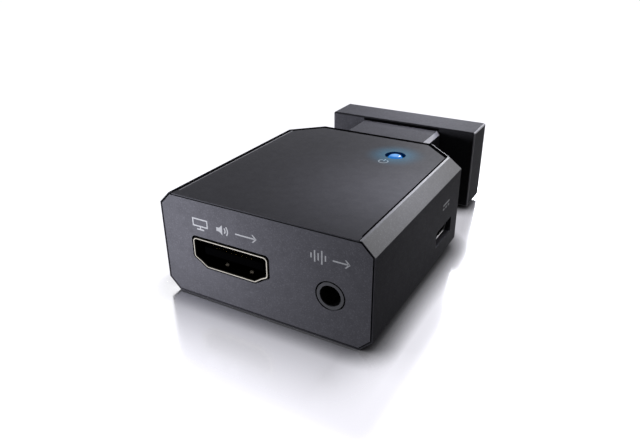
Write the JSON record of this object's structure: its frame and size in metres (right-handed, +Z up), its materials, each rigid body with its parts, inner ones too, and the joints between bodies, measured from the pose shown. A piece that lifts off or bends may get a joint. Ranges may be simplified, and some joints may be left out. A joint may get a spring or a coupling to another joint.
{
  "type": "vga to hdmi converter",
  "caption": "Compact bevelled box that turns a VGA picture and line-in sound into HDMI, with a 15-pin plug behind a narrow neck, a power socket and a lamp.",
  "frame": {"origin": "under the middle of the whole object, on the plane that the housing's flat base stands on", "axes": "+X to the right seen from the front, +Y back towards the plug, +Z up"},
  "size_m": [0.039, 0.0692, 0.0186],
  "materials": {
    "case": "satin metallic grey paint over moulded plastic",
    "shell_steel": "tin plated steel sheet",
    "plug_steel": "nickel plated steel sheet",
    "contact_gold": "gold plated copper alloy",
    "socket_black": "glass filled moulding, black",
    "plug_blue": "moulded insulator, blue",
    "bushing": "dark grey moulding",
    "board": "solder mask over glass fibre laminate",
    "chip": "moulded package",
    "lead": "tin plated",
    "lens": "clear blue moulding",
    "led": "lamp package",
    "screw": "zinc plated",
    "can": "can with a printed stripe",
    "ceramic": "fired ceramic with tinned ends",
    "resistor": "coated ceramic with tinned ends",
    "coil": "pressed ferrite"
  },
  "bodies": {
    "case": {"housing": "case", "top_plate": "case", "front_plate": "case", "hood_top": "case", "hood_bottom": "case", "vga_shell": "plug_steel", "vga_rear_shell": "plug_steel", "vga_insulator": "plug_blue", "vga_pins": "contact_gold", "plug_board": "board", "board_link_pins": "lead", "main_board": "board", "board_screws": "screw", "led_chip": "led", "light_pipe": "lens", "hdmi_shell": "shell_steel", "hdmi_insulator": "socket_black", "hdmi_contacts": "contact_gold", "jack_bushing": "bushing", "jack_body": "socket_black", "jack_terminals": "lead", "usb_shell": "shell_steel", "usb_insulator": "socket_black", "usb_contacts": "contact_gold", "converter_chip": "chip", "converter_chip_leads": "lead", "audio_chip": "chip", "audio_chip_leads": "lead", "memory_chip": "chip", "memory_chip_leads": "lead", "regulator": "chip", "regulator_leads": "lead", "inductor": "coil", "crystal": "screw", "electrolytic_capacitors": "can", "resistors": "resistor", "ceramic_capacitors": "ceramic"},
    "tip_spring": {"jack_tip_spring": "lead"},
    "ring_spring": {"jack_ring_spring": "lead"}
  },
  "joints": [
    {"name": "tip_spring_bend", "type": "hinge", "parent": "case", "child": "tip_spring", "pos_m": [0.01475, -0.02724, 0.00805], "axis": [0, 0, -1], "range_deg": [0, 7], "stiffness_Nm_per_rad": 0.07},
    {"name": "ring_spring_bend", "type": "hinge", "parent": "case", "child": "ring_spring", "pos_m": [0.01015, -0.02254, 0.00805], "axis": [0, 0, -1], "range_deg": [0, 7], "stiffness_Nm_per_rad": 0.07}
  ]
}
